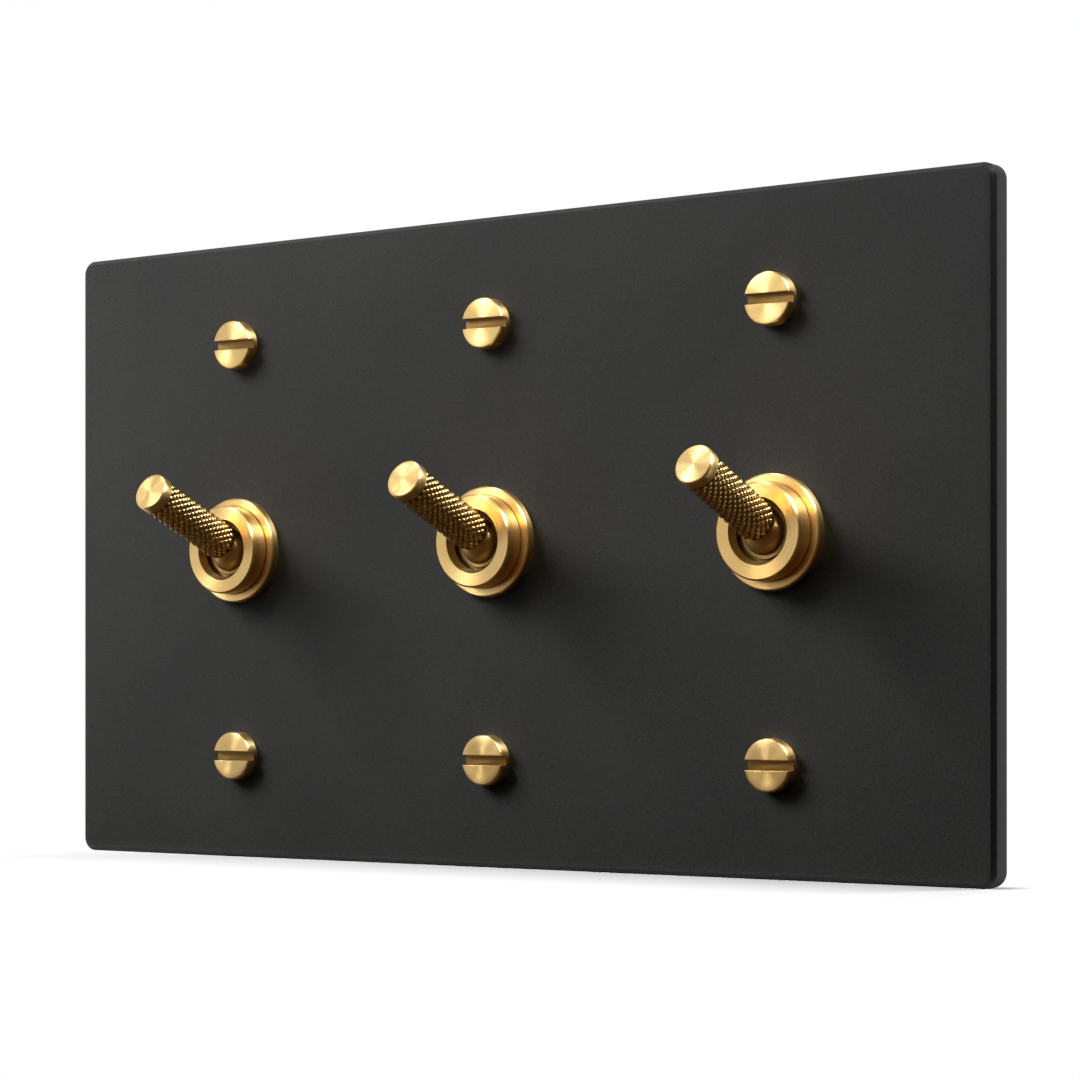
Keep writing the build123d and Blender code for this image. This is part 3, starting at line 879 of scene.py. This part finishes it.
lever_grip = add_shape(
    "cylinder", "lever_grip", vertices=2 * knurl_starts, radius=grip_radius,
    depth=knurl_length, end_fill_type="NOTHING", location=(0, 0, (knurl_low + knurl_high) / 2),
)
apply_place(lever_grip)
with edit_mode(lever_grip):
    pick("EDGE", lambda edge: abs(edge.verts[0].co.z - edge.verts[1].co.z) > TINY)
    bpy.ops.mesh.subdivide(number_cuts=knurl_rows - 1)
    pick("VERT", is_valley)
    bpy.ops.transform.resize(value=(sink, sink, 1), center_override=(0, 0, 0))
    select_everything()
    bpy.ops.mesh.quads_convert_to_tris(quad_method="SHORTEST_DIAGONAL")
    pick("VERT", lambda vertex: axis_distance(vertex) > grip_radius - TINY)
    bpy.ops.mesh.dissolve_verts()
print("diamonds", sum(len(face.vertices) == 4 for face in lever_grip.data.polygons))

# %% Knurl pillows
pillow_steps = ((0.05 * MM, 0.13 * MM), (0.1 * MM, 0.085 * MM), (0.09 * MM, 0.035 * MM))
with edit_mode(lever_grip):
    pick("FACE", lambda face: len(face.verts) == 4)
    for inset, rise in pillow_steps:
        bpy.ops.mesh.inset(thickness=inset, depth=rise, use_individual=True)
print("knurl radius", in_mm(max(axis_distance(v) for v in lever_grip.data.vertices)))

# %% Tip and foot
join_gap = 0.02 * MM
tip_break = 3 * join_gap
tip_rings = (0.75, 0.5, 0.25)
tip = turn_piece("tip", [
    (valley_radius, knurl_high + join_gap),
    (grip_radius - join_gap, knurl_high + join_gap),
    (grip_radius, knurl_high + tip_break),
    *round_edge(grip_radius, grip_end, tip_round),
    *flat_top(grip_radius, grip_end, tip_rings),
])
foot = turn_piece("foot", [
    (0, grip_start),
    (foot_radius, grip_start),
    (foot_radius, knurl_low - join_gap),
])


def join(first, *others):
    """Join pieces into the first of them."""
    only(first)
    for piece in others:
        piece.select_set(True)
    bpy.ops.object.join()


def on_open_end(edge, height):
    return edge.is_boundary and all(abs(v.co.z - height) < 2 * join_gap for v in edge.verts)


join(lever_grip, tip, foot)
with edit_mode(lever_grip):
    for height in (knurl_low, knurl_high):
        pick("EDGE", lambda edge: on_open_end(edge, height))
        bpy.ops.mesh.bridge_edge_loops()
    face_out()
print("grip faces", len(lever_grip.data.polygons))

# %% [markdown]
# ## Knurl with painted shade
# Shade is painted into the knurl's grooves: the grip gets its painted shade from the distance of each
# point to the axis, darker the deeper it lies. The knurling wheel presses the lathe's rings
# away, so the knurl has a brass of its own that is smoother and spreads its light evenly.

# %% Knurl shade
def below_crest(vertex, crest, depth):
    """How far a point lies below a crest, as a share of the depth from crest to root."""
    return min(1.0, max(0.0, (crest - axis_distance(vertex)) / depth))


def knurl_painted_shade(vertex):
    in_knurl = knurl_low - TINY < vertex.co.z < knurl_high + TINY
    return below_crest(vertex, grip_radius, knurl_depth) if in_knurl else 0.0


mark_painted_shade(lever_grip, knurl_painted_shade)
knurled_brass = brass_finish("knurled_brass", 0.18, 0.24, anisotropic=0.0)
knurled = [knurl_low < face.center.z < knurl_high for face in lever_grip.data.polygons]
for pattern, angle in ((lever_stem, 24), (lever_grip, 80)):
    mark_turning(pattern)
    smooth(pattern, angle)
    pieces = seat_on_gangs(
        pattern, "brass", satin_brass, "satin_brass", body="lever", height=pivot_height, tilt=lever_tilt
    )
for piece in pieces:
    piece.data.materials.append(knurled_brass)
    piece.data.polygons.foreach_set("material_index", knurled)
print("lever tilt", round(degrees(lever_tilt), 1))

# %% [markdown]
# ## Slotted screws
# A plate screw is a turned cheese head with a sawn slot, a plain shoulder and a thread. The head is
# turned and cut, and the slot's mouth is flared a little, as the saw's burr is always filed off. For
# the thread, one tooth is drawn as a line of one pitch and the Screw modifier winds it up the shank,
# so that each turn meets the next.

# %% Screw helpers
SAW_LENGTH, FACING_UP = 20 * MM, 0.9
FLANK_END, CREST_END, ROOT_START = 0.38, 0.5, 0.88
THREAD_STEPS, SPARE_TURNS = 20, 3
SMALL_SIDES = 40


def saw_slot(piece, top, width, depth, flare):
    """Saw a slot along X into the top of a head, with flared lips."""
    saw = add_shape("cube", "saw", size=1, location=(0, 0, top - (depth + flare) / 2))
    saw.scale = (SAW_LENGTH, width, depth - flare)
    apply_place(saw)
    with edit_mode(saw):
        pick("FACE", lambda face: face.normal.z > FACING_UP)
        extrude(flare)
        bpy.ops.transform.resize(value=(1, (width + 2 * flare) / width, 1), center_override=(0, 0, top))
        extrude(depth)
    cut(piece, saw)


def wind(piece, rise, turns, steps):
    """Wind a drawn line round Z with the Screw modifier, by a rise for each turn."""
    only(piece)
    step = piece.modifiers.new("wind", "SCREW")
    step.screw_offset = rise
    step.iterations = turns
    step.steps = step.render_steps = steps
    bpy.ops.object.modifier_apply(modifier=step.name)


def wind_thread(radius, tooth, pitch, low, high, tip):
    """A threaded bar round Z from one height to another, with its lower end chamfered."""
    root = radius - tooth
    outline = ((root, 0), (radius, FLANK_END), (radius, CREST_END), (root, ROOT_START), (root, 1))
    bar = add_shape("circle", "thread", vertices=len(outline), radius=radius)
    with edit_mode(bar):
        mesh = bmesh.from_edit_mesh(bar.data)
        bmesh.ops.delete(mesh, geom=[mesh.edges[:][-1]], context="EDGES")
        for vertex, (distance, share) in zip(mesh.verts, outline):
            vertex.co = (distance, 0, low + (share - 1) * pitch)
        bmesh.update_edit_mesh(bar.data)
    wind(bar, pitch, int((high - low) / pitch) + SPARE_TURNS, THREAD_STEPS)
    with edit_mode(bar):
        select_everything()
        bpy.ops.mesh.remove_doubles(threshold=TINY)
        for height, out in ((low, -1), (high, 1)):
            select_everything()
            bpy.ops.mesh.bisect(
                plane_co=(0, 0, height), plane_no=(0, 0, out), use_fill=True, clear_outer=True
            )
        face_out()
    envelope = turn_piece("envelope", [
        (0, low - TINY),
        (radius - tip, low - TINY),
        (radius + TINY, low + tip),
        (radius + TINY, high + TINY),
        (0, high + TINY),
    ], SMALL_SIDES)
    cut(bar, envelope, "INTERSECT")
    return bar


# %% Plate screws
HEAD_SIDES = 72
# The first number is the painted shade on the floor of a screw's slot.
SLOT_SHADE, SLOT_MARGIN = 0.85, 1.01
head_height, head_round, head_rings = 1.8 * MM, 0.3 * MM, (0.7, 0.45, 0.2)
slot_width, slot_depth, slot_flare = 1.36 * MM, 1.1 * MM, 0.08 * MM
shoulder_radius, thread_radius, thread_tooth, thread_pitch = 2.0 * MM, 1.75 * MM, 0.36 * MM, 0.7 * MM
thread_tip = 0.5 * MM
strap_back = -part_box("strap_middle")[1].y
head_top = plate_front + head_height
thread_low = -screw_high.y

plate_screw = turn_piece("plate_screw", [
    (0, strap_back),
    (shoulder_radius, strap_back),
    (shoulder_radius, plate_front),
    (head_radius, plate_front),
    *round_edge(head_radius, head_top, head_round),
    *flat_top(head_radius, head_top, head_rings),
], HEAD_SIDES)
saw_slot(plate_screw, head_top, slot_width, slot_depth, slot_flare)
thread_high = strap_back + thread_pitch / 2
thread = wind_thread(thread_radius, thread_tooth, thread_pitch, thread_low, thread_high, thread_tip)
join(plate_screw, thread)


def mark_screw(screw, top, slot, depth, crest, tooth, low, high):
    """A screw's painted shade grows with the depth in its slot, and between the crests of its thread."""
    def screw_painted_shade(vertex):
        sunk = (top - vertex.co.z) / depth
        if sunk < SLOT_MARGIN and abs(vertex.co.y) < slot / 2 + TINY:
            return SLOT_SHADE * sunk
        return below_crest(vertex, crest, tooth) if low < vertex.co.z < high else 0.0

    mark_painted_shade(screw, screw_painted_shade)
    mark_turning(screw)


mark_screw(
    plate_screw, head_top, slot_width, slot_depth, thread_radius, thread_tooth,
    low=thread_tip + thread_low, high=strap_back,
)
smooth(plate_screw, angle=25)
print("plate screw faces", len(plate_screw.data.polygons))


def fasten(pattern, spots, name, material, slot, node):
    """Copies of one piece at several places and turns about X, joined and dressed as one piece."""
    copies = [seat(pattern, name, place, turn) for place, turn in spots]
    join(*copies)
    bpy.data.objects.remove(pattern)
    dress(copies[0], material, "base", slot, node)
    print(name, len(spots))


def above_and_below(height):
    """Places at a height above and below each toggle, facing out of the wall."""
    return [((x, 0, z), OUT_OF_WALL) for x in toggle_x.values() for z in (-height, height)]


spots = above_and_below(screw_z)
fasten(plate_screw, spots, "brass_plate_screws", satin_brass, "satin_brass", "plate_screws")

# %% [markdown]
# ## Zinc-plated steel
# Behind the plate, flat steel straps tie the switches to it. Zinc plating is a cool grey with faint
# cloudy patches over the lines of the rolled sheet.

# %% Zinc-plated steel
def finish(name, scale, tones, rough, group=None, sizes=None, stain=None, depth=None, **inputs):
    """Two tones that drift. Marks from a group, where it has them, stain it and stand in relief."""
    material, tree, output = new_material(name)
    drift = effect(tree, drift_group, Scale=scale)
    marks = effect(tree, group, **sizes) if group else drift
    tone = tint(tree, drift, *tones)
    if stain:
        colour, low, high = stain
        tone = tint(tree, spread(tree, marks, low, high), tone, colour)
    if depth:
        inputs["Normal"] = relief(tree, marks, depth, LINE_STRENGTH)
    principled(tree, output, Base_Color=tone, Roughness=spread(tree, marks, *rough), **inputs)
    return material


zinc_steel = finish(
    "zinc_steel", scale=260.0, tones=((0.50, 0.51, 0.53), (0.64, 0.645, 0.65)), rough=(0.30, 0.46),
    group=drawn_group, sizes={"X": 2600.0, "Y": 2600.0, "Z": 70.0}, depth=LINE_DEPTH, Metallic=1.0,
)
print("finish", zinc_steel.name)

# %% Straps
strap_corner, strap_break = 3.0 * MM, 0.12 * MM
rivet_low, rivet_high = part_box("case_rivets")
rivet_head_radius, rivet_gap = rivet_high.x - toggle_x["right"], 0.05 * MM
rivet_z = rivet_high.z - rivet_head_radius
earth_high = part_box("earth_screws")[1]
earth_head_radius, earth_hole_radius = 3.0 * MM, 1.65 * MM
earth_x = earth_high.x - earth_head_radius - toggle_x["right"]
earth_z = earth_high.z - earth_head_radius
for gang, x in toggle_x.items():
    strap = rounded_slab(f"steel_strap_{gang}", *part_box(f"strap_{gang}"), strap_corner)
    bevel(strap, lambda edge: not is_through(edge), strap_break, segments=2)
    drill(strap, (x, 0, 0), collar_hole_radius)
    for z in (-screw_z, screw_z):
        drill(strap, (x, 0, z), screw_hole_radius)
    for z in (-rivet_z, rivet_z):
        drill(strap, (x, 0, z), rivet_head_radius + rivet_gap)
    drill(strap, (x + earth_x, 0, earth_z), earth_hole_radius)
    smooth(strap)
    dress(strap, zinc_steel, "base", "zinc_steel", f"strap_{gang}")
print("earth screw at", in_mm(earth_x), in_mm(earth_z))

# %% [markdown]
# ## Pins and rivets
# Each lever turns on a plain steel pin through its ball. Tubular steel rivets hold the case to the
# strap: their front heads lie flush in it, and their back heads are clenched into low domes.

# %% Pivot pins
pin_break = 0.12 * MM
for gang in GANGS:
    pin_low, pin_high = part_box(f"pivot_pin_{gang}")
    pin = add_shape(
        "cylinder", f"steel_pivot_pin_{gang}", vertices=PIN_SIDES, radius=(pin_high.z - pin_low.z) / 2,
        depth=pin_high.x - pin_low.x, location=(pin_low + pin_high) / 2, rotation=ALONG_PIN,
    )
    apply_place(pin)
    bevel(pin, lambda edge: abs(edge.verts[0].co.x - edge.verts[1].co.x) < TINY, pin_break, segments=2)
    smooth(pin)
    dress(pin, zinc_steel, "base", "zinc_steel", f"pivot_pin_{gang}")
print("pivot pin", in_mm(pin_high.x - pin_low.x), "mm long")

# %% Case rivets
rivet_radius, ear_thickness = 1.0 * MM, 2.5 * MM
hollow_radius, hollow_mouth, hollow_depth = 0.45 * MM, 0.55 * MM, 0.3 * MM
dome_crown, dome_shoulder, dome_drop = 1.1 * MM, 1.6 * MM, 0.3 * MM
ear_back = strap_back - ear_thickness
rivet_back, rivet_front = -rivet_high.y, -rivet_low.y
rivet = turn_piece("rivet", [
    (0, rivet_back + hollow_depth),
    (hollow_radius, rivet_back + hollow_depth),
    (hollow_mouth, rivet_back),
    (dome_crown, rivet_back),
    (dome_shoulder, rivet_back + dome_drop),
    (rivet_head_radius, ear_back),
    (rivet_radius, ear_back),
    (rivet_radius, rivet_front - rivet_head_radius + rivet_radius),
    (rivet_head_radius, rivet_front),
    (0, rivet_front),
], SMALL_SIDES)
smooth(rivet)
fasten(rivet, above_and_below(rivet_z), "steel_case_rivets", zinc_steel, "zinc_steel", "case_rivets")

# %% [markdown]
# ## Moulded case
# Each switch sits in a case of dark phenolic moulding, a hard plastic with fine flecks of filler. Its
# shape is all flats, slots and holes, so a copy of the CAD mesh is used: triangles that lie in one
# plane are merged into whole faces, and the sharp edges are rounded a little, as a mould leaves them.

# %% Moulding
case_moulding = finish(
    "case_moulding", scale=180.0, tones=((0.020, 0.017, 0.015), (0.032, 0.027, 0.023)), rough=(0.36, 0.52),
    group=grain_group, sizes={"Scale": 2600.0}, stain=((0.085, 0.066, 0.05), 0.0, 0.25),
    depth=0.006 * MM, Specular_IOR_Level=0.35,
)
FLAT_ANGLE, SHARP_ANGLE = radians(1), radians(40)


def softened(node, name, rounding):
    """A copy of a CAD node with whole faces instead of triangles, and with rounded edges."""
    piece = bpy.data.objects.new(name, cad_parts[node].data.copy())
    bpy.context.collection.objects.link(piece)
    only(piece)
    bpy.ops.mesh.customdata_custom_splitnormals_clear()
    with edit_mode(piece):
        bpy.ops.mesh.select_mode(type="EDGE")
        select_everything()
        bpy.ops.mesh.remove_doubles(threshold=TINY)
        bpy.ops.mesh.dissolve_limited(angle_limit=FLAT_ANGLE)
        bpy.ops.mesh.select_all(action="DESELECT")
        bpy.ops.mesh.edges_select_sharp(sharpness=SHARP_ANGLE)
        bpy.ops.mesh.bevel(offset=rounding, segments=2, affect="EDGES", clamp_overlap=True)
    smooth(piece)
    return piece


mould_round = 0.15 * MM
for gang in GANGS:
    case = softened(f"switch_case_{gang}", f"moulded_switch_case_{gang}", mould_round)
    dress(case, case_moulding, "base", "case_moulding", f"switch_case_{gang}")
print("case faces", len(case.data.polygons))

# %% [markdown]
# ## Strip brass
# Terminals and rockers are stamped from rolled brass strip. Rolling leaves straight lines, here along
# the strips, and the plain brass has gone a little brown. The strips are copies of the CAD mesh with
# softened edges, as tumbling after the press leaves them.

# %% Terminals and rockers
strip_brass = finish(
    "strip_brass", scale=220.0, tones=((0.78, 0.56, 0.25), (0.60, 0.40, 0.17)), rough=(0.42, 0.28),
    group=drawn_group, sizes={"X": 2600.0, "Y": 90.0, "Z": 2600.0},
    stain=((0.40, 0.25, 0.09), 0.25, 0.0), depth=LINE_DEPTH, Metallic=1.0,
)
strip_round = 0.08 * MM
for gang in GANGS:
    for node in ("common_terminal", "upper_terminal", "lower_terminal", "rocker"):
        strip = softened(f"{node}_{gang}", f"brass_{node}_{gang}", strip_round)
        body = f"rocker_{gang}" if node == "rocker" else "base"
        dress(strip, strip_brass, body, "terminal_brass", f"{node}_{gang}")
print("strip faces", len(strip.data.polygons))

# %% [markdown]
# ## Terminal and earth screws
# The wires are clamped by small pan-head screws. Each is turned, slotted and threaded like the plate
# screws. The terminal screws are brass too, and the earth screw behind each strap is dyed green.

# %% Pan-head screws
PAN_SIDES = 56
pan_break, pan_flare, pan_rings = 0.1 * MM, 0.06 * MM, (0.5,)
pan_tooth, pan_pitch, pan_tip = 0.24 * MM, 0.5 * MM, 0.3 * MM


def pan_screw(name, radius, height, rounding, slot, thread_radius, reach):
    """A slotted pan-head screw round Z that sits on the plane of its origin."""
    screw = turn_piece(name, [
        (0, 0),
        (radius - pan_break, 0),
        (radius, pan_break),
        *round_edge(radius, height, rounding),
        *flat_top(radius, height, pan_rings),
    ], PAN_SIDES)
    saw_slot(screw, height, slot, slot, pan_flare)
    join(screw, wind_thread(thread_radius, pan_tooth, pan_pitch, -reach, pan_pitch / 2, pan_tip))
    mark_screw(screw, height, slot, slot, thread_radius, pan_tooth, low=pan_tip - reach, high=0)
    smooth(screw, angle=30)
    return screw


wire_low, wire_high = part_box("terminal_screws")
wire_height = 1.8 * MM
wire_y = (wire_low.y + wire_high.y) / 2
wire_z, common_z = wire_high.z - wire_height, 0.5 * MM
wire_screw = pan_screw(
    "wire_screw", radius=2.6 * MM, height=wire_height, rounding=0.6 * MM, slot=0.9 * MM,
    thread_radius=1.25 * MM, reach=2.6 * MM,
)
spots = []
for x in toggle_x.values():
    spots += [((x, wire_y, common_z), 0), ((x, wire_y, wire_z), 0), ((x, wire_y, -wire_z), pi)]
fasten(wire_screw, spots, "brass_terminal_screws", satin_brass, "terminal_brass", "terminal_screws")

# %% Earth screws
earth_green, tree, output = new_material("earth_green")
drift = effect(tree, drift_group, Scale=300.0)
tone = tint(tree, drift, (0.03, 0.26, 0.09), (0.07, 0.36, 0.14))
principled(
    tree, output,
    # Painted shade: the green darkens towards a very dark green in the slot and between the thread's
    # crests.
    Base_Color=tint(tree, spread(tree, painted_shade_level(tree), 0.0, 0.8), tone, (0.01, 0.05, 0.02)),
    Metallic=1.0,
    Roughness=spread(tree, drift, 0.30, 0.42),
)
earth_screw = pan_screw(
    "earth_screw", radius=earth_head_radius, height=1.7 * MM, rounding=0.56 * MM, slot=0.85 * MM,
    thread_radius=1.6 * MM, reach=1.5 * MM,
)
spots = [((x + earth_x, -strap_back, earth_z), -OUT_OF_WALL) for x in toggle_x.values()]
fasten(earth_screw, spots, "green_earth_screws", earth_green, "earth_green", "earth_screws")

# %% [markdown]
# ## Contacts, plunger and spring
# Inside each case, a round-nosed nylon plunger in the lever's tail is pushed out by a small coil spring
# and throws the rocker over its fulcrum, on to one of two domed silver contacts. The domes and the
# plunger are turned, and the Screw modifier winds the wire's round section into the coil.

# %% Contacts
contact_silver = finish(
    "contact_silver", scale=900.0, tones=((0.86, 0.85, 0.82), (0.62, 0.58, 0.50)),
    rough=(0.24, 0.40), Metallic=1.0,
)
contact_low, contact_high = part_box("fixed_contacts")
dome_radius, dome_rise, shank_radius = 1.2 * MM, 0.7 * MM, 0.6 * MM
dome_top, shank_end = -contact_low.y, -contact_high.y
rim_angle, top_ring_angle = asin(1 - dome_rise / dome_radius), radians(85)
contact_z = contact_high.z - dome_radius * cos(rim_angle)
contact = turn_piece("contact", [
    (0, shank_end),
    (shank_radius, shank_end),
    (shank_radius, dome_top - dome_rise),
    *arc(dome_top - dome_radius, dome_radius, rim_angle, top_ring_angle, count=6),
    (0, dome_top),
], SMALL_SIDES)
smooth(contact)
spots = above_and_below(contact_z)
fasten(contact, spots, "silver_fixed_contacts", contact_silver, "contact_silver", "fixed_contacts")

# %% Plungers and springs
nylon = finish("nylon", scale=400.0, tones=((0.74, 0.72, 0.66), (0.80, 0.79, 0.74)), rough=(0.38, 0.5))
plunger_radius, plunger_top, plunger_break = 0.95 * MM, -6.8 * MM, 0.1 * MM
nose_middle, nose_ring_angle = -10.6 * MM, radians(-80)
plunger = turn_piece("plunger", [
    (0, nose_middle - plunger_radius),
    *arc(nose_middle, plunger_radius, nose_ring_angle, 0, count=8),
    (plunger_radius, plunger_top - plunger_break),
    (plunger_radius - plunger_break, plunger_top),
    (0, plunger_top),
], SMALL_SIDES)

spring_steel = finish(
    "spring_steel", scale=1500.0, tones=((0.34, 0.34, 0.35), (0.48, 0.48, 0.49)),
    rough=(0.26, 0.38), Metallic=1.0,
)
coil_radius, wire_section, coil_turns, coil_steps = 0.68 * MM, 0.16 * MM, 5, 28
coil_low, coil_high = plunger_top + wire_section, -tail_bore_end - wire_section
spring = add_shape(
    "circle", "plunger_spring", vertices=12, radius=wire_section,
    location=(coil_radius, 0, coil_low), rotation=(pi / 2, 0, 0),
)
apply_place(spring)
wind(spring, (coil_high - coil_low) / coil_turns, coil_turns, coil_steps)
with edit_mode(spring):
    select_everything()
    bpy.ops.mesh.fill_holes(sides=0)
    face_out()

for pattern, material, slot in ((plunger, nylon, "nylon"), (spring, spring_steel, "spring_steel")):
    smooth(pattern)
    seat_on_gangs(pattern, slot, material, slot, body="lever", height=pivot_height, tilt=lever_tilt)
print("spring", in_mm(coil_high - coil_low), "mm long")
